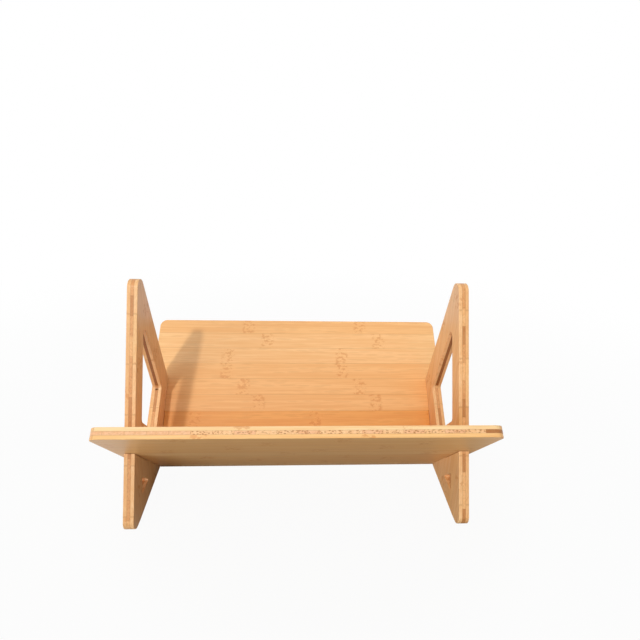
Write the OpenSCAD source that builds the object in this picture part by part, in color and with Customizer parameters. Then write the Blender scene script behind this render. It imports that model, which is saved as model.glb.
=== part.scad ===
// Record storage stand: a slot-together cradle cut from three-layer bamboo board.
//
// Two A-shaped end panels carry two equal boards. The boards lean at 45 degrees and meet in a
// square V, so square sleeves stand on the front board and lean back on the back board.
// Every crossing is a cross-lap: an open slot in the edge of the end panel takes the board, and
// an open notch in the lower edge of the board takes the end panel. Nothing else holds it.
//
// X runs along the row of sleeves, Y from front to back and Z up. The origin lies on the floor,
// under the middle of the overall length and depth.

/* [Bamboo board] */
// Thickness of one of the three glued layers
ply_t = 4; // [3:0.5:5]

/* [Cradle boards] */
// Length of both boards, along the row of sleeves
board_l = 408; // [340:1:520]
// Width of both boards, up their slope
board_w = 196; // [170:1:220]
// Radius of the corners on the outer edge of a board
outer_corner_r = 10; // [4:1:20]
// Radius of the corners on the lower edge of a board
lower_corner_r = 6; // [2:1:8]
// Height of the lowest corner of the V above the floor
vee_h = 6; // [4:1:16]

/* [End panels] */
// How far the boards reach past the outer face of each end panel
overhang = 9; // [8:1:30]
// Height at which the two sloping edges of an end panel would meet
apex_h = 281; // [270:1:300]
// Slope of those edges from the vertical, in degrees
edge_lean = 22; // [21:0.5:24]
// Radius of the rounded top
apex_r = 11; // [6:1:14]
// Radius of the rounded tip of each foot
foot_r = 11; // [5:1:14]
// Length of the flat land under each foot
foot_land = 10; // [6:1:16]

/* [Windows] */
// Wood left in front of the large window
front_strut = 23; // [18:1:28]
// Wood left behind the large window
back_strut = 29; // [22:1:34]
// Wood left between the large window and the slot of the front board
front_rim = 25; // [18:1:34]
// Wood left between the large window and the slot of the back board
back_rim = 28; // [18:1:34]
// Wood left between the small window in each leg and the sloping edge
leg_strut = 29; // [22:1:33]
// Wood left between the small window and the slot of the board above it
leg_rim = 20; // [16:1:24]
// Height of the lower side of the small windows
leg_window_h = 24; // [18:1:26]
// Radius in the corners of the large window
window_r = 6; // [3:0.5:8]
// Radius in the corners of the small windows
leg_window_r = 1.5; // [1:0.5:3]

/* [Cross-laps] */
// Depth of the notches in the lower edge of a board
notch_depth = 58; // [45:1:66]
// Play on each side of a board in its slot, and of an end panel in its notch
lap_play = 0.4; // [0.2:0.1:1]

/* [Hidden] */
$fn = 64;

face_colour = [0.93, 0.75, 0.55];
core_colour = [0.82, 0.60, 0.38];

board_t = 3 * ply_t;
panel_out = board_l / 2 - overhang;
panel_in = panel_out - board_t;
half_base = apex_h * tan(edge_lean);
// Where the flat land of a foot ends and the underside starts to rise
land_in = half_base - foot_r / tan((90 - edge_lean) / 2) - foot_land;
// Length by which a cut runs past the wood that it opens
past = 20;
// Slope of both boards, which makes the V square
slope = 45;

// A point of the section through the V: "up" along the underside of the front board from its
// lowest corner, and "off" square to it, which is also up the rear face of the back board.
function vee(up, off) = [(off - up) * cos(slope), vee_h + (off + up) * sin(slope)];

// Front to back extent, and so the middle of the depth
front_y = vee(board_w, 0)[0];
back_y = vee(0, board_t + board_w)[0];
mid_y = (front_y + back_y) / 2;

function unit(v) = v / norm(v);
function cross2(u, v) = u[0] * v[1] - u[1] * v[0];
// Where the line through p along u meets the line through q along v
function meet(p, u, q, v) = p + u * cross2(q - p, v) / cross2(u, v);
// The direction u turned a quarter turn to the right
function right_of(u) = [u[1], -u[0]];
function mirrored(points) = [for (p = points) [-p[0], p[1]]];

// Centre of an arc of radius r that touches both sides of corner i of a polygon
function arc_centre(points, i, r) =
    let (n = len(points), u = unit(points[(i + 1) % n] - points[i]),
         v = unit(points[(i + n - 1) % n] - points[i]))
    points[i] + unit(u + v) * r / sin(acos(u * v) / 2);

// A convex polygon with corner i rounded to radii[i]
module rounded(points, radii) {
    hull() for (i = [0:len(points) - 1])
        translate(arc_centre(points, i, radii[i])) circle(r = radii[i]);
}

// ---- End panels, drawn in the plane of Y and Z ----

front_foot = [-half_base, 0];
front_up = [sin(edge_lean), cos(edge_lean)];
back_up = [-sin(edge_lean), cos(edge_lean)];
front_slope = [-cos(slope), sin(slope)];
back_slope = [cos(slope), sin(slope)];
level = [1, 0];

// Points on the sides of the windows
front_side = front_foot + front_strut * right_of(front_up);
back_side = [half_base, 0] - back_strut * right_of(back_up);
leg_side = front_foot + leg_strut * right_of(front_up);
leg_floor = [0, leg_window_h];

large_window = [
    meet(front_side, front_up, back_side, back_up),
    meet(back_side, back_up, vee(board_t + back_rim, 0), back_slope),
    vee(board_t + back_rim, board_t + front_rim),
    meet(front_side, front_up, vee(0, board_t + front_rim), front_slope)
];

leg_window = [
    meet(leg_side, front_up, vee(0, -leg_rim), front_slope),
    meet(vee(0, -leg_rim), front_slope, leg_floor, level),
    meet(leg_floor, level, leg_side, front_up)
];

// Open slots that take the boards, from the end of a notch out through the edge
front_slot = [
    vee(notch_depth, -lap_play), vee(board_w, -lap_play),
    vee(board_w, board_t + lap_play), vee(notch_depth, board_t + lap_play)
];
back_slot = [
    vee(-lap_play, board_t + notch_depth), vee(-lap_play, board_t + board_w),
    vee(board_t + lap_play, board_t + board_w), vee(board_t + lap_play, board_t + notch_depth)
];

module panel_outline() {
    difference() {
        rounded([front_foot, [0, apex_h], [half_base, 0]], [foot_r, apex_r, foot_r]);
        // The underside rises from both feet to the lowest corner of the V
        polygon([[-land_in, 0], [0, vee_h], [land_in, 0], [land_in, -past], [-land_in, -past]]);
    }
}

module panel_drawing() {
    difference() {
        panel_outline();
        rounded(large_window, [for (p = large_window) window_r]);
        rounded(leg_window, [for (p = leg_window) leg_window_r]);
        rounded(mirrored(leg_window), [for (p = leg_window) leg_window_r]);
        polygon(front_slot);
        polygon(back_slot);
    }
}

// One layer of an end panel, from x outwards
module panel_ply(x) {
    translate([x, -mid_y, 0]) rotate([90, 0, 90]) linear_extrude(ply_t) panel_drawing();
}

// ---- Cradle boards, drawn flat with the lower edge on the X axis ----

module board_drawing() {
    outline = [
        [-board_l / 2, 0], [-board_l / 2, board_w], [board_l / 2, board_w], [board_l / 2, 0]
    ];
    difference() {
        rounded(outline, [lower_corner_r, outer_corner_r, outer_corner_r, lower_corner_r]);
        for (side = [-1, 1])
            translate([side * (panel_in + panel_out) / 2, notch_depth / 2 - past / 2])
                square([board_t + 2 * lap_play, notch_depth + past], center = true);
    }
}

// One layer of a board turned up to the given angle, a number of layers off its first face.
// Both boards turn about the line where the lower edge of the back board stands on the front one.
module board_ply(angle, layer) {
    seam = vee(0, board_t);
    translate([0, seam[0] - mid_y, seam[1]]) rotate([angle, 0, 0])
        translate([0, 0, layer * ply_t]) linear_extrude(ply_t) board_drawing();
}

module left_end_outer_ply() { color(face_colour) panel_ply(-panel_out); }
module left_end_core_ply() { color(core_colour) panel_ply(-panel_out + ply_t); }
module left_end_inner_ply() { color(face_colour) panel_ply(-panel_out + 2 * ply_t); }

module right_end_outer_ply() { color(face_colour) panel_ply(panel_out - ply_t); }
module right_end_core_ply() { color(core_colour) panel_ply(panel_out - 2 * ply_t); }
module right_end_inner_ply() { color(face_colour) panel_ply(panel_in); }

module front_board_top_ply() { color(face_colour) board_ply(180 - slope, 0); }
module front_board_core_ply() { color(core_colour) board_ply(180 - slope, 1); }
module front_board_under_ply() { color(face_colour) board_ply(180 - slope, 2); }

module back_board_rear_ply() { color(face_colour) board_ply(slope, 0); }
module back_board_core_ply() { color(core_colour) board_ply(slope, 1); }
module back_board_front_ply() { color(face_colour) board_ply(slope, 2); }

left_end_outer_ply();
left_end_core_ply();
left_end_inner_ply();
right_end_outer_ply();
right_end_core_ply();
right_end_inner_ply();
front_board_top_ply();
front_board_core_ply();
front_board_under_ply();
back_board_front_ply();
back_board_core_ply();
back_board_rear_ply();
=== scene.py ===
# %% [markdown]
# # A slot-together stand of laminated bamboo
#
# The stand is four flat boards: two A-shaped end panels, and two equal boards that meet in a
# square V between them. Every board is glued up from three plies of bamboo, and the plies show
# as stripes on each sawn edge. The construction comes from CAD, one solid for each ply. This
# notebook gives the plies what the saw, the sandpaper and the lacquer gave the real ones: eased
# arrises, open glue joints in the cores, and bamboo all the way through.

# %% Load the frame
import math

import bmesh
import bpy
from mathutils import Euler, Matrix, Vector


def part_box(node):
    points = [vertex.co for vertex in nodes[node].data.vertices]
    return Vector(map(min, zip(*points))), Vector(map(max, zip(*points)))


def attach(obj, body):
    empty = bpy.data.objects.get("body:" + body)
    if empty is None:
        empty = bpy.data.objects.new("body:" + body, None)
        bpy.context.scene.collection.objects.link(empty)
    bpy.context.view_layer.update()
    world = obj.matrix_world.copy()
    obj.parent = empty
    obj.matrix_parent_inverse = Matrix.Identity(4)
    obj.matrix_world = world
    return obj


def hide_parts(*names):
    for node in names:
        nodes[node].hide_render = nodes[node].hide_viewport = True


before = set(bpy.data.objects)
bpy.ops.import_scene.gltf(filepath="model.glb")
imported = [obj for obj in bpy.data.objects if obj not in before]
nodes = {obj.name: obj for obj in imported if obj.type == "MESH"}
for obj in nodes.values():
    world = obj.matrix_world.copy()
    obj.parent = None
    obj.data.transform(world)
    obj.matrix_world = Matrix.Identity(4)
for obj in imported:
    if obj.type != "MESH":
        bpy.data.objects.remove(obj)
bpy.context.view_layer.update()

# %% [markdown]
# ## Measures
#
# Blender counts in metres and a joiner counts in millimetres, so one constant changes between
# them. The ply thickness is read off the CAD frame, so nothing here has to be kept in step.

# %% Measures
MM = 0.001
core_low, core_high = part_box("left_end_core_ply")
ply_t = core_high[0] - core_low[0]
print("ply thickness", round(ply_t / MM, 2), "mm")

# %% [markdown]
# ## Camera
#
# The photograph was taken from just above the front board with a wide lens, a little left of
# the middle. The camera stands there at its real distance. Its turn is built from three plain
# angles: how far it looks down, how far it is turned to the right, and how far it leans.

# %% Camera
camera_place = Vector((-10.8, -529.0, 411.8)) * MM
looks_down = math.radians(20.49)
turned_right = math.radians(3.66)
leans = math.radians(1.78)
image_px = 640
focal_px = 470.1
sensor_mm = 36.0

camera_data = bpy.data.cameras.new("camera")
camera_data.sensor_width = sensor_mm
camera_data.lens = focal_px / image_px * sensor_mm
camera = bpy.data.objects.new("camera", camera_data)
bpy.context.scene.collection.objects.link(camera)
turn = (Matrix.Rotation(-turned_right, 4, "Z") @ Matrix.Rotation(math.pi / 2 - looks_down, 4, "X")
        @ Matrix.Rotation(leans, 4, "Z"))
camera.matrix_world = Matrix.Translation(camera_place) @ turn
bpy.context.scene.camera = camera
print("lens", round(camera_data.lens, 2), "mm")

# %% [markdown]
# ## Colours and nodes
#
# A hex colour is written in sRGB, as it looks on a screen, and shaders work in linear light.
# One function changes between them. A second one adds a shader node with its settings and its
# links and hands back one output, so that a material reads as a list of steps.


# %% Colours and nodes
def linear(hex_colour):
    """An sRGB hex colour as linear red, green, blue and alpha."""
    parts = [int(hex_colour[i:i + 2], 16) / 255 for i in (1, 3, 5)]
    return [p / 12.92 if p <= 0.04045 else ((p + 0.055) / 1.055) ** 2.4 for p in parts] + [1.0]


def add(tree, kind, sockets=None, out=0, **settings):
    """Adds one node and returns one of its outputs. A socket takes a link or a plain value."""
    node = tree.nodes.new("ShaderNode" + kind)
    for name, value in settings.items():
        setattr(node, name, value)
    for name, value in (sockets or {}).items():
        if isinstance(value, bpy.types.NodeSocket):
            tree.links.new(value, node.inputs[name])
        else:
            node.inputs[name].default_value = value
    return node.outputs[out] if node.outputs else None


print("mid grey in linear light", round(linear("#808080")[0], 3))

# %% [markdown]
# ## Bamboo
#
# Bamboo board is glued up from strips about 21 mm wide. Each strip has long fine fibres, and
# here and there a knuckle, where the fibres curl into short darker strokes. A bundle of fibres
# shows as a dash where it was cut lengthwise, and as a dot where it was cut across. All of that
# could be painted flat on each face, but it is a pattern in the solid wood. So the pattern here
# is solid too: it is long along the grain and small across it, and a sawn end shows dots where a
# face shows dashes, without any mapping of surfaces.
#
# The colours are those of naturally blond bamboo. Each letter is one tone of cane: P, N and H on
# the faces of the boards, Y and W along the front board's upper edge, I and O with a few of P on
# the end panels, L, M and D in most cores, R, S and K in the front board's core, and B where the
# cutter scorched the wood.

# %% Bamboo colours
tones = {
    "P": "#f4c388", "N": "#f1bb7c", "H": "#eba85a",
    "Y": "#fbd6a0", "W": "#f8c684",
    "I": "#f6c68f", "O": "#efba80",
    "L": "#f2bb80", "M": "#e2a469", "D": "#c98a50",
    "R": "#f1bd90", "S": "#f7c996", "K": "#b0743c",
    "B": "#9c5f28",
}
dash_colour = "#ad6a26"
knuckle_colour = "#cf7a2c"
glue_colour = "#b07a48"
fibre_tint = "#f6eadb"
print("bamboo tones", len(tones))

# %% [markdown]
# ## Strips
#
# Cutting every ply into strips would give hundreds of pieces that nobody can take apart. The
# strips are flush, so the material lays them out instead. It counts them across the ply, and a
# stepped colour ramp holds the list: the colour is the cane's tone, and the alpha is a mark from
# 0 to 1. On a face the mark is the place of the knuckles, and on a core it also says how coarse
# the sawn end looks.

# %% Strips
seed_step = 17.3
print("seeds of two plies lie", seed_step, "apart in the noise")


def laid_strips(tree, across, start, pitch, strips, seed):
    """The strip at this place: its tone, its mark, some dice, and where in the strip this is."""
    count = add(tree, "Math", {0: across, 1: 1 / pitch, 2: -start / pitch},
                operation="MULTIPLY_ADD")
    strip = add(tree, "Math", {0: count}, operation="FLOOR")
    part = add(tree, "Math", {0: count}, operation="FRACT")
    off_centre = add(tree, "Math", {0: part, 1: 0.5}, operation="SUBTRACT")
    from_middle = add(tree, "Math", {0: off_centre}, operation="ABSOLUTE")
    to_joint = add(tree, "Math", {0: from_middle, 1: -pitch, 2: pitch / 2},
                   operation="MULTIPLY_ADD")
    number = add(tree, "Math", {0: strip, 1: seed * seed_step}, operation="ADD")
    dice = add(tree, "TexWhiteNoise", {"W": number}, out="Color", noise_dimensions="1D")

    listed = strips.split()
    fraction = add(tree, "Math", {0: strip, 1: 1 / len(listed), 2: 0.5 / len(listed)},
                   operation="MULTIPLY_ADD")
    tone = add(tree, "ValToRGB", {"Fac": fraction})
    ramp = tone.node.color_ramp
    ramp.interpolation = "CONSTANT"
    ramp.elements[1].position = 1 / len(listed)
    for order, word in enumerate(listed):
        stop = ramp.elements[order] if order < 2 else ramp.elements.new(order / len(listed))
        stop.color = linear(tones[word[0]])[:3] + [int(word[1:]) / 100]
    return tone, tone.node.outputs["Alpha"], dice, from_middle, to_joint


# %% [markdown]
# ## Knuckles
#
# The knuckles of a cane follow each other at an even pitch. So the length along the strip is
# folded over that pitch, which gives the distance from the nearest knuckle, with no list of
# places. The knuckle is bowed, because the strip was once a piece of a round cane.

# %% Knuckles
knuckle_pitch = 165.0
knuckle_bow = 8.0
knuckle_edge, knuckle_heart = 11.0, 6.0
print("knuckle pitch", knuckle_pitch, "mm")


def knuckles(tree, along, mark, from_middle):
    """1 in a knuckle and 0 away from it."""
    folded = add(tree, "Math", {0: along, 1: 1 / knuckle_pitch, 2: 0.5},
                 operation="MULTIPLY_ADD")
    folded = add(tree, "Math", {0: folded, 1: mark}, operation="SUBTRACT")
    folded = add(tree, "Math", {0: folded}, operation="FRACT")
    offset = add(tree, "Math", {0: folded, 1: knuckle_pitch, 2: -knuckle_pitch / 2},
                 operation="MULTIPLY_ADD")
    bow = add(tree, "Math", {0: from_middle, 1: from_middle}, operation="MULTIPLY")
    offset = add(tree, "Math", {0: bow, 1: knuckle_bow, 2: offset}, operation="MULTIPLY_ADD")
    distance = add(tree, "Math", {0: offset}, operation="ABSOLUTE")
    return add(tree, "MapRange", {"Value": distance, "From Min": knuckle_edge,
               "From Max": knuckle_heart}, interpolation_type="SMOOTHSTEP")


# %% [markdown]
# ## Grain
#
# Every strip comes from another cane. A pattern for each strip would need many more nodes, so
# there is one endless pattern, and the grain of each strip starts at another place in it. Beside
# a knuckle that place wanders, and the straight fibres turn crooked there.

# %% Grain
cane_jump = (900.0, 70.0, 70.0)
crook_size = 2.38
crook_reach = 4.0
print("fibres wander at most", crook_reach / 2, "mm aside")


def grown(tree, own, dice, near_knuckle):
    """The place in the cane that this place in the strip was cut from."""
    cane = add(tree, "VectorMath", {0: dice, 1: cane_jump, 2: own}, operation="MULTIPLY_ADD")
    crook = add(tree, "TexNoise", {"Vector": own, "Scale": 1 / crook_size, "Detail": 1.0},
                out="Color")
    crooked = add(tree, "VectorMath", {0: crook, 1: (0.5,) * 3}, operation="SUBTRACT")
    reach = add(tree, "Math", {0: near_knuckle, 1: crook_reach}, operation="MULTIPLY")
    bent = add(tree, "VectorMath", {0: crooked, "Scale": reach}, operation="SCALE")
    return add(tree, "VectorMath", {0: cane, 1: bent}, operation="ADD")


# %% [markdown]
# ## Fibres
#
# Noise that is stretched along the grain makes fibres, and the same noise in two sizes makes fine
# streaks and broad bands. Cut bundles are cells of a Voronoi pattern, because they are separate
# and about evenly spaced.
#
# The sizes are in millimetres: along the grain, across the strip and through the ply. A real
# fibre bundle is about half a millimetre wide, which is less than a pixel of the render, so the
# fibres and bundles here are drawn three to six times as coarse as they grow.

# %% Fibres
fibre_size = (60.0, 1.6, 1.6)
band_size = (170.0, 5.0, 5.0)
bundle_size = (22.0, 3.0, 1.5)
bundle_rim, bundle_heart = 0.52, 0.28
print("fibre size", fibre_size, "mm")


def often(size):
    """How often a pattern of this size comes in a millimetre, in each direction."""
    return [1 / length for length in size]


def fibres_of(tree, grain):
    """Fine fibres, broad bands and cut bundles at a place in the cane."""
    fibre_place = add(tree, "VectorMath", {0: grain, 1: often(fibre_size)},
                      operation="MULTIPLY")
    fibres = add(tree, "TexNoise", {"Vector": fibre_place, "Scale": 1.0, "Detail": 2.0,
                 "Roughness": 0.6})
    band_place = add(tree, "VectorMath", {0: grain, 1: often(band_size)}, operation="MULTIPLY")
    bands = add(tree, "TexNoise", {"Vector": band_place, "Scale": 1.0, "Detail": 1.5})
    bundle_place = add(tree, "VectorMath", {0: grain, 1: often(bundle_size)},
                       operation="MULTIPLY")
    bundle = add(tree, "TexVoronoi", {"Vector": bundle_place, "Scale": 1.0})
    bundles = add(tree, "MapRange", {"Value": bundle, "From Min": bundle_rim,
                  "From Max": bundle_heart}, interpolation_type="SMOOTHSTEP")
    return fibres, bands, bundles


# %% [markdown]
# ## Streaks
#
# Between its fibres a strip is never one flat tone. Streaks in a colour of their own would make
# all strips alike. So the fine and the broad noise are added up, and where they are low together
# a pale tint is multiplied in, which deepens each cane's own tone a little.

# %% Streaks
streak_low, streak_high = 0.72, 1.28
print("streaks fade out between", streak_low, "and", streak_high)


def streaked(tree, tone, fibres, bands):
    """The cane's own tone, a little deeper in streaks."""
    mixed = add(tree, "Math", {0: fibres, 1: bands}, operation="ADD")
    streaks = add(tree, "MapRange", {"Value": mixed, "From Min": streak_low,
                  "From Max": streak_high}, interpolation_type="SMOOTHSTEP")
    deep = add(tree, "Mix", {0: 1.0, 6: tone, 7: linear(fibre_tint)}, out=2, data_type="RGBA",
               blend_type="MULTIPLY")
    return add(tree, "Mix", {0: streaks, 6: deep, 7: tone}, out=2, data_type="RGBA")


# %% [markdown]
# ## Wide faces
#
# A wide face shows curled strokes at its knuckles and a few dashes between them. One recipe for
# all plies, with every mark mixed in by a factor, would also do. But two short functions say
# plainly which ply has which marks, one for faces and one for sawn ends. Each hands back the new
# colour, how strong its dashes or dots are, and what lies a hair below the surface.

# %% Wide faces
curl_size = (6.0, 3.0, 3.0)
curl_low, curl_high, curl_strength = 0.52, 0.62, 0.45
patch_low, patch_high = 0.42, 0.6
few_dashes = 0.12
print("curled strokes", curl_size[0], "mm long")


def face_marks(tree, colour, grain, bands, bundles, near_knuckle):
    """Curled strokes at the knuckles, and few dashes between them."""
    curl_place = add(tree, "VectorMath", {0: grain, 1: often(curl_size)}, operation="MULTIPLY")
    curls = add(tree, "TexNoise", {"Vector": curl_place, "Scale": 1.0, "Detail": 0.5})
    stroke = add(tree, "MapRange", {"Value": curls, "From Min": curl_low,
                 "From Max": curl_high, "To Max": curl_strength},
                 interpolation_type="SMOOTHSTEP")
    strokes = add(tree, "Math", {0: stroke, 1: near_knuckle}, operation="MULTIPLY")
    colour = add(tree, "Mix", {0: strokes, 6: colour, 7: linear(knuckle_colour)}, out=2,
                 data_type="RGBA")
    patches = add(tree, "MapRange", {"Value": bands, "From Min": patch_low,
                  "From Max": patch_high}, interpolation_type="SMOOTHSTEP")
    dashes = add(tree, "Math", {0: bundles, 1: patches}, operation="MULTIPLY")
    dash_share = add(tree, "Math", {0: dashes, 1: few_dashes}, operation="MULTIPLY")
    return colour, dash_share, strokes


# %% [markdown]
# ## Sawn ends
#
# A core is laid crosswise, so its sawn edge shows the ends of its bundles as dots, thickly on
# some strips and hardly on others, and a brown line of glue along both its faces. The glue could
# be a thin piece of its own, but it is flush. So the distance from the middle of the core, which
# the pattern knows, draws both lines at once.

# %% Sawn ends
fewest_dots, more_dots = 0.12, 0.75
glue_in, glue_out, glue_strength = 0.7, 0.2, 0.45
print("glue line", glue_in, "mm")


def end_marks(tree, colour, mark, bundles, through, core_middle):
    """Dots as coarse as the strip's mark says, and glue along both faces of the core."""
    dot_share = add(tree, "Math", {0: mark, 1: more_dots, 2: fewest_dots},
                    operation="MULTIPLY_ADD")
    dots = add(tree, "Math", {0: bundles, 1: dot_share}, operation="MULTIPLY")
    off_middle = add(tree, "Math", {0: through, 1: core_middle}, operation="SUBTRACT")
    off_middle = add(tree, "Math", {0: off_middle}, operation="ABSOLUTE")
    core_face = ply_t / MM / 2
    glue = add(tree, "MapRange", {"Value": off_middle, "From Min": core_face - glue_in,
               "From Max": core_face - glue_out, "To Max": glue_strength},
               interpolation_type="SMOOTHSTEP")
    colour = add(tree, "Mix", {0: glue, 6: colour, 7: linear(glue_colour)}, out=2,
                 data_type="RGBA")
    return colour, dots, glue


# %% [markdown]
# ## Lacquer
#
# The finish is a thin clear satin lacquer. It gives the eye a low broad sheen that breaks up a
# little along the fibres, because they still stand proud under it. A clear layer all over would
# look like plastic, so the coat is weak and the roughness follows the fibres. The relief is in
# millimetres, as a fingernail would feel it: fibres up, and cut bundles, joints and strokes down.

# %% Lacquer
fibre_rise, relief_strength = 0.05, 0.8
fibre_low, fibre_high = 0.3, 0.7
smoothest, roughest = 0.38, 0.52
lacquer_ior, coat_weight, coat_roughness = 1.5, 0.12, 0.25
print("lacquer roughness", smoothest, "to", roughest)


def lacquered(tree, colour, fibres, dips):
    """Satin lacquer over this colour, with the fibres proud and each mark sunk by its dip."""
    relief = add(tree, "Math", {0: fibres, 1: fibre_rise}, operation="MULTIPLY")
    for share, dip in dips:
        relief = add(tree, "Math", {0: share, 1: dip, 2: relief}, operation="MULTIPLY_ADD")
    bump = add(tree, "Bump", {"Height": relief, "Distance": MM, "Strength": relief_strength})
    rough = add(tree, "MapRange", {"Value": fibres, "From Min": fibre_low,
                "From Max": fibre_high, "To Min": smoothest, "To Max": roughest})
    return add(tree, "BsdfPrincipled", {"Base Color": colour, "Roughness": rough,
               "Normal": bump, "IOR": lacquer_ior, "Coat Weight": coat_weight,
               "Coat Roughness": coat_roughness})


# %% [markdown]
# ## Laminated bamboo
#
# Now the steps are put together, in the order in which the real board gets them: the strips, what
# grew in them, the glue joint between them, and the lacquer over all. Every ply has a material of
# its own, because its strips lie its own way. One material that asked each ply for its numbers
# would be shorter, but then its strips couldn't be listed.

# %% Laminated bamboo
joint_out, joint_in, joint_strength = 0.6, 0.1, 0.3
dash_dip, joint_dip, mark_dip = -0.08, -0.15, -0.03
print("joints are dark within", joint_out, "mm")


def bamboo(name, turned, start, pitch, strips, seed, core_middle=None):
    """Laminated bamboo under satin lacquer: blond strips, a low sheen and fibres to be felt."""
    material = bpy.data.materials.new(name)
    material.use_nodes = True
    tree = material.node_tree
    tree.nodes.clear()

    # Millimetres along the grain, across the strips and through the ply
    place = add(tree, "TexCoord", out="Object")
    own = add(tree, "Mapping", {"Vector": place, "Scale": (1 / MM,) * 3,
              "Rotation": [math.radians(a) for a in turned]})
    along, across, through = add(tree, "SeparateXYZ", {0: own}).node.outputs

    tone, mark, dice, from_middle, to_joint = laid_strips(tree, across, start, pitch, strips,
                                                          seed)
    near_knuckle = knuckles(tree, along, mark, from_middle)
    grain = grown(tree, own, dice, near_knuckle)
    fibres, bands, bundles = fibres_of(tree, grain)
    colour = streaked(tree, tone, fibres, bands)
    if core_middle is None:
        colour, dash_share, sunk = face_marks(tree, colour, grain, bands, bundles, near_knuckle)
    else:
        colour, dash_share, sunk = end_marks(tree, colour, mark, bundles, through, core_middle)
    joint = add(tree, "MapRange", {"Value": to_joint, "From Min": joint_out,
                "From Max": joint_in, "To Max": joint_strength},
                interpolation_type="SMOOTHSTEP")
    for share in (dash_share, joint):
        colour = add(tree, "Mix", {0: share, 6: colour, 7: linear(dash_colour)}, out=2,
                     data_type="RGBA")

    dips = (dash_share, dash_dip), (joint, joint_dip), (sunk, mark_dip)
    add(tree, "OutputMaterial", {"Surface": lacquered(tree, colour, fibres, dips)})
    return material


# %% [markdown]
# ## Where each ply's grain runs
#
# On the boards the grain of both faces runs lengthwise, and on the end panels it runs upright.
# The core is always laid crosswise between them, which is what keeps a thin board flat. That
# is why a long edge shows two smooth stripes with a row of sawn strip ends between them.
#
# Each ply has one entry here: its turns about X, Y and Z in degrees, where its first strip
# starts and how wide its strips are, both in millimetres, and the strips themselves in order,
# each with its cane's letter and its mark in hundredths. Random strips would be quicker to
# write, but a board is judged by its strips, so they are chosen one by one.

# %% Strips of the face plies
front_board_turn = (-135, 0, 0)
back_board_turn = (-45, 0, 0)
panel_turn = (0, 90, 0)

faces = {
    "left_end_outer_ply": (panel_turn, -130.4, 21.0,
                           "O12 O70 O33 O88 O51 O07 P62 O25 O90 O41 O66 O18"),
    "left_end_inner_ply": (panel_turn, -130.4, 21.0,
                           "I44 I81 I22 I60 P05 I73 I36 I95 I52 P14 I68 I30"),
    "right_end_outer_ply": (panel_turn, -127.5, 21.0,
                            "O61 O17 O84 P40 O09 O72 O35 O93 P55 O26 O78"),
    "right_end_inner_ply": (panel_turn, -127.5, 21.0,
                            "I86 I31 P58 I11 I76 I47 I92 I20 P64 I39 I03"),
    "front_board_top_ply": (front_board_turn, -8.0, 21.0,
                            "N15 N62 H90 N37 N74 P08 N51 N83 N29 P55 Y66"),
    "front_board_under_ply": (front_board_turn, -8.0, 21.0,
                              "N48 P85 N21 N67 N34 P92 N13 N57 N79 N26 W41"),
    "back_board_front_ply": (back_board_turn, 2.9, 23.2,
                             "N55 N82 H14 N66 N53 N38 P38 P72 N55"),
    "back_board_rear_ply": (back_board_turn, 2.9, 23.2,
                            "P33 N69 N06 H80 N45 P17 N94 N52 P28"),
}
print("face plies", len(faces))


# %% Strips of the core plies
def crosswise(turned):
    """The turns of a core, a quarter turn from its faces."""
    return (turned[0], turned[1], 90)


cores = {
    "left_end_core_ply": (crosswise(panel_turn), -4.4, 21.0,
                          "L10 M20 M10 M35 D15 D25 D10 M30 M15 L05 M20 D30 M10"),
    "right_end_core_ply": (crosswise(panel_turn), 4.0, 19.5,
                           "D20 L10 L15 D30 M10 L05 D25 M15 L10 M30 D15 L10 M20"),
    "front_board_core_ply": (crosswise(front_board_turn), -210.8, 20.75,
                             "R05 R10 R05 R05 R10 S90 S80 R85 S75 S95 R80 S90 S75 R85 S80 "
                             "R90 S95 R80 S85 K10"),
    "back_board_core_ply": (crosswise(back_board_turn), -206.0, 21.0,
                            "M20 L40 M10 D30 M25 L15 M50 M10 L35 D20 M30 L10 M45 D15 M25 "
                            "L30 M10 L50 M20 D10"),
}
print("core plies", len(cores))

# %% [markdown]
# ## Sawn blanks
#
# Each ply could be drawn again here from its measures, but the CAD has sawn it already. A CAD
# node is a heap of loose triangles, and its own mesh is never changed. So every ply starts as a
# copy of its node, in which the corners that lie on each other are merged.

# %% Sawn blanks
same_corner = 0.001 * MM
print("corners merged within", round(same_corner / MM, 4), "mm")


def copied(node):
    """A bmesh of a CAD node with its loose triangles merged."""
    shape = bmesh.new()
    shape.from_mesh(nodes[node].data)
    bmesh.ops.remove_doubles(shape, verts=shape.verts, dist=same_corner)
    return shape


def centre(node):
    """The middle of a CAD node."""
    low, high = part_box(node)
    return (low + high) / 2


# %% [markdown]
# ## Round corners and sharp arrises
#
# A rounded corner is a row of short straight steps. Smooth shading all over would blur the sharp
# arrises, and flat shading would show each step. So an edge is smooth only where the surface
# turns by no more than a step.

# %% Round corners and sharp arrises
bend_step = math.radians(12)
print("steps shaded as a bend, up to", round(math.degrees(bend_step)), "degrees")


def shaded(shape, mesh):
    """Flat faces stay flat and the small steps of an arc turn into one smooth bend."""
    for face in shape.faces:
        face.smooth = True
    for edge in shape.edges:
        edge.smooth = edge.calc_face_angle(0) < bend_step
    shape.to_mesh(mesh)
    # The normals that came with the CAD mesh no longer fit its new faces
    if "custom_normal" in mesh.attributes:
        mesh.attributes.remove(mesh.attributes["custom_normal"])


# %% [markdown]
# ## Finished pieces
#
# A finished ply takes the place of its CAD node. The piece rides on the one body there is and
# is named after the node that it stands for.


# %% Finished pieces
def made(name, shape, materials, node):
    """Turns a bmesh into a piece that stands for a CAD node."""
    mesh = bpy.data.meshes.new(name)
    shaded(shape, mesh)
    shape.free()
    for material in materials:
        mesh.materials.append(material)
    piece = bpy.data.objects.new(name, mesh)
    bpy.context.scene.collection.objects.link(piece)
    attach(piece, "root")
    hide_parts(node)
    print(name, "faces", len(mesh.polygons))


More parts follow.
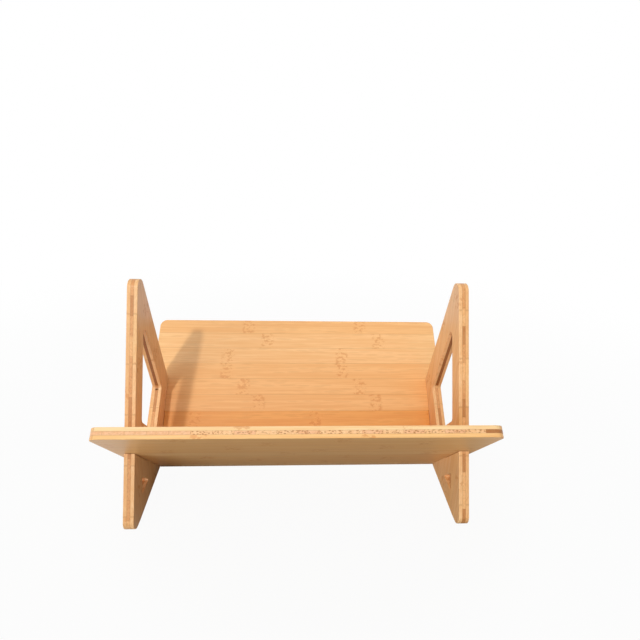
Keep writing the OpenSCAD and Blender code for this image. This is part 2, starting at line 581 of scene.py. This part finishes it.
# %% [markdown]
# ## Eased faces
#
# After sawing, every arris is rubbed down once with fine paper. The rounding is well under a
# millimetre, yet it is what makes an edge look touched by a hand, because it catches a thin line
# of light. A bevel modifier would round every edge of a ply, also those that are glued. Here the
# flat faces are made whole again, and only the outline of the outer face is bevelled.

# %% Face plies
arris_r = 0.5 * MM
flat_within = math.radians(0.5)
arris_from = math.radians(30)
on_surface = 0.01 * MM
first_face_seed = 11


def eased_face(node, core, material):
    """A face ply whose outer outline is rubbed down."""
    outward = (centre(node) - centre(core)).normalized()
    shape = copied(node)
    bmesh.ops.dissolve_limit(shape, angle_limit=flat_within, verts=shape.verts,
                             edges=shape.edges, use_dissolve_boundaries=False)
    furthest = max(vert.co.dot(outward) for vert in shape.verts)

    def outside(vert):
        return furthest - vert.co.dot(outward) < on_surface

    outline = [edge for edge in shape.edges if all(outside(v) for v in edge.verts)
               and edge.calc_face_angle(0) > arris_from]
    bmesh.ops.bevel(shape, geom=outline, offset=arris_r, segments=3, profile=0.5,
                    affect="EDGES", material=-1)
    made(node.replace("_ply", "_face"), shape, [material], node)


for seed, (node, (turned, start, pitch, strips)) in enumerate(faces.items(), first_face_seed):
    core = node.rsplit("_", 2)[0] + "_core_ply"
    wood = bamboo("bamboo_" + node, turned, start, pitch, strips, seed)
    eased_face(node, core, wood)

# %% [markdown]
# ## Cores with open joints
#
# The strips of a core are only pushed together in the press, and here and there a joint stays
# open. It shows as a dark slit in the sawn edge. A dark line would do from far away, but a slit
# has to go dark by itself under any lamp. So two planes cut the core beside the joint, and the
# small faces between them are pushed into the wood, level as the joint runs.

# %% Open joints
slit_half = 0.8 * MM
slit_depth = 7.0 * MM
slit_reach = 3.0 * MM
on_plane = 0.0001 * MM
edge_on = 0.5
sorting_line = Vector((0.6, 0.3, 0.1))
open_joints = {
    "left_end_core_ply": [Vector((-189.0, 34.0, 100.6)) * MM, Vector((-189.0, -64.1, 37.6)) * MM],
}


def slit(shape, place):
    """Opens a level joint in the sawn edge at this place."""
    for height in (place.z - slit_half, place.z + slit_half):
        bmesh.ops.bisect_plane(shape, geom=shape.verts[:] + shape.edges[:] + shape.faces[:],
                               dist=on_plane, plane_co=(0, 0, height), plane_no=(0, 0, 1))
    sawn = []
    for face in shape.faces:
        middle = face.calc_center_median()
        beside = abs(middle.z - place.z) < slit_half and abs(middle.y - place.y) < slit_reach
        if beside and abs(face.normal.x) < edge_on:
            sawn.append(face)
    inwards = -math.copysign(slit_depth, sum(face.normal.y for face in sawn))
    pushed = bmesh.ops.extrude_face_region(shape, geom=sawn)["geom"]
    bmesh.ops.translate(shape, vec=(0, inwards, 0),
                        verts=[g for g in pushed if isinstance(g, bmesh.types.BMVert)])
    # The extrusion leaves the old faces over the mouth of the slit
    bmesh.ops.delete(shape, geom=sawn, context="FACES")
    # It makes its walls in another order each time, so the faces are sorted along one line
    shape.faces.sort(key=lambda face: face.calc_center_median().dot(sorting_line))
    print("slit at height", round(place.z / MM, 1), "faces", len(sawn))


# %% [markdown]
# ## Scorched window walls
#
# The back wall of each large window is browner on its core than the other edges are. A cutter
# that turns for a moment in the corner scorches end grain, and there the core shows nothing
# else. A darker tint by height would reach the other edges too. So these few faces get a second
# bamboo of their own, with the same strips and fibres in browner tones.

# %% Core plies
burnt_strips = "B20 B25 B15 B30 B20 B25 B15 B20 B30 B25 B20 B15 B20"
burnt_from = 103 * MM
forwards, downwards = -0.7, -0.15
first_core_seed = 31


def scorched(face):
    """Whether a face is on the back wall of a large window, which looks forwards and down."""
    middle = face.calc_center_median()
    looks_down_front = face.normal.y < forwards and face.normal.z < downwards
    return looks_down_front and middle.y > 0 and middle.z > burnt_from


for seed, (node, (turned, start, pitch, strips)) in enumerate(cores.items(), first_core_seed):
    spin = Euler([math.radians(a) for a in turned]).to_matrix()
    middle = (spin @ centre(node)).z / MM
    woods = [bamboo("bamboo_" + node, turned, start, pitch, strips, seed, core_middle=middle)]
    shape = copied(node)
    for place in open_joints.get(node, []):
        slit(shape, place)
    if "end" in node:
        woods.append(bamboo("burnt_" + node, turned, start, pitch, burnt_strips, seed,
                            core_middle=middle))
        for face in shape.faces:
            face.material_index = int(scorched(face))
    made(node.replace("_ply", ""), shape, woods, node)

# %% [markdown]
# ## Floor
#
# The background of the photograph is white. More light would bleach the bamboo, so the floor
# stays a pale grey that lights the undersides, and only for the camera it is mixed with white,
# more so further out. The object's shadow stays on it. A gleam on the lacquer shows the white
# floor as well, though not the part under the stand, which lies in shade. Seen almost along its
# surface, the front board's underside is grey and bright at its left end for that reason.
# The darker grey under the stand and a little to its right, and the missing gleam there, are
# painted shade; they also give the undersides less bounce light.

# %% Floor
# Painted shade: near a point just right of the stand's middle the floor is a darker grey, fading
# to the open grey further out
open_floor, floor_grey_in_painted_shade = "#c9cdcc", "#a3a196"
painted_shade_centre = (0.03, 0.0, 0.0)
painted_shade_from, painted_shade_to = 0.2, 0.3
white_from, white_to = 0.35, 1.2
near_white = 0.95
floor_half = 6.0

floor_mesh = bpy.data.meshes.new("floor")
floor_shape = bmesh.new()
bmesh.ops.create_grid(floor_shape, x_segments=1, y_segments=1, size=floor_half)
floor_shape.to_mesh(floor_mesh)
floor_shape.free()
floor = bpy.data.objects.new("floor", floor_mesh)
bpy.context.scene.collection.objects.link(floor)
print("floor", 2 * floor_half, "m wide")

# %% Backdrop paper
# Matt backdrop paper: no sheen; it shows the soft shadow of the stand, and a painted shade, a
# darker grey under the stand and a little to its right
paper = bpy.data.materials.new("pale_paper")
paper.use_nodes = True
tree = paper.node_tree
tree.nodes.clear()
spot = add(tree, "TexCoord", out="Object")
distance = add(tree, "VectorMath", {0: spot}, out="Value", operation="LENGTH")
whiter = add(tree, "MapRange", {"Value": distance, "From Min": white_from, "From Max": white_to,
             "To Min": near_white}, interpolation_type="SMOOTHSTEP")
ray = add(tree, "LightPath").node.outputs
seen = add(tree, "Math", {0: whiter, 1: ray["Is Camera Ray"]}, operation="MULTIPLY")
# Painted shade under the stand: 0 inside it and 1 outside, and only outside does a gleam see
# white
off_painted_shade = add(tree, "VectorMath", {0: spot, 1: painted_shade_centre}, out="Value",
                operation="DISTANCE")
clear = add(tree, "MapRange", {"Value": off_painted_shade, "From Min": painted_shade_from, "From Max": painted_shade_to},
            interpolation_type="SMOOTHSTEP")
mirrored = add(tree, "Math", {0: ray["Is Glossy Ray"], 1: ray["Is Transmission Ray"]},
               operation="ADD", use_clamp=True)
share = add(tree, "Math", {0: clear, 1: mirrored, 2: seen}, operation="MULTIPLY_ADD")
tint = add(tree, "Mix", {0: clear, 6: linear(floor_grey_in_painted_shade), 7: linear(open_floor)}, out=2,
           data_type="RGBA")
matt = add(tree, "BsdfDiffuse", {"Color": tint})
white = add(tree, "Emission", {"Color": linear("#ffffff")})
add(tree, "OutputMaterial", {"Surface": add(tree, "MixShader", {0: share, 1: matt, 2: white})})
floor_mesh.materials.append(paper)
print("floor reaches white at", white_to, "m")

# %% [markdown]
# ## Lamps and room
#
# Four lamps light the stand. The small one stands high in front and a little to the left, so
# that the left end panel throws its shadow on the back board as it does in the photograph. The
# other three are wide and soft: one from the ceiling, and two that come in low from the left and
# from in front. They reach under the front board and through the windows of the end panels, and
# so the inner walls of the cut-outs and the far leg are bright.
#
# Sun lamps are used, because their light is the same all over the object and their size is just
# an angle. Each has its direction, its strength, its width in degrees and its colour. The room
# fills the shadows with a faint cool light, and shows itself as plain white to the camera, to
# gloss and to clear pieces.

# %% Lamps
lamps = {
    "window_light": ((0.24, 0.72, -0.65), 1.0, 3.2, "#fff5e2"),
    "ceiling_light": ((0.05, 0.1, -1.0), 0.74, 60, "#fff5e2"),
    "left_glow": ((1.0, 0.6, -0.08), 0.92, 45, "#d2e6ff"),
    "front_glow": ((0.6, 0.8, -0.1), 0.9, 45, "#ffffff"),
}
for name, (way, energy, width, colour) in lamps.items():
    lamp = bpy.data.lights.new(name, "SUN")
    lamp.energy = energy
    lamp.angle = math.radians(width)
    lamp.color = linear(colour)[:3]
    holder = bpy.data.objects.new(name, lamp)
    holder.rotation_euler = Vector(way).to_track_quat("-Z", "Y").to_euler()
    bpy.context.scene.collection.objects.link(holder)
    print(name, "energy", energy)

# %% Room
room_strength, shown_strength = 0.42, 1.0
room_colour, shown_colour = "#e6f2ff", "#ffffff"

world = bpy.data.worlds.new("room")
world.use_nodes = True
bpy.context.scene.world = world
tree = world.node_tree
tree.nodes.clear()
ray = add(tree, "LightPath").node.outputs
shown = add(tree, "Math", {0: ray["Is Camera Ray"], 1: ray["Is Glossy Ray"]}, operation="ADD")
shown = add(tree, "Math", {0: shown, 1: ray["Is Transmission Ray"]}, operation="ADD",
            use_clamp=True)
strength = add(tree, "MapRange", {"Value": shown, "To Min": room_strength,
               "To Max": shown_strength})
hue = add(tree, "Mix", {0: shown, 6: linear(room_colour), 7: linear(shown_colour)}, out=2,
          data_type="RGBA")
room = add(tree, "Background", {"Color": hue, "Strength": strength})
add(tree, "OutputWorld", {"Surface": room})
bpy.context.scene.view_settings.view_transform = "Standard"
print("room light", room_strength)
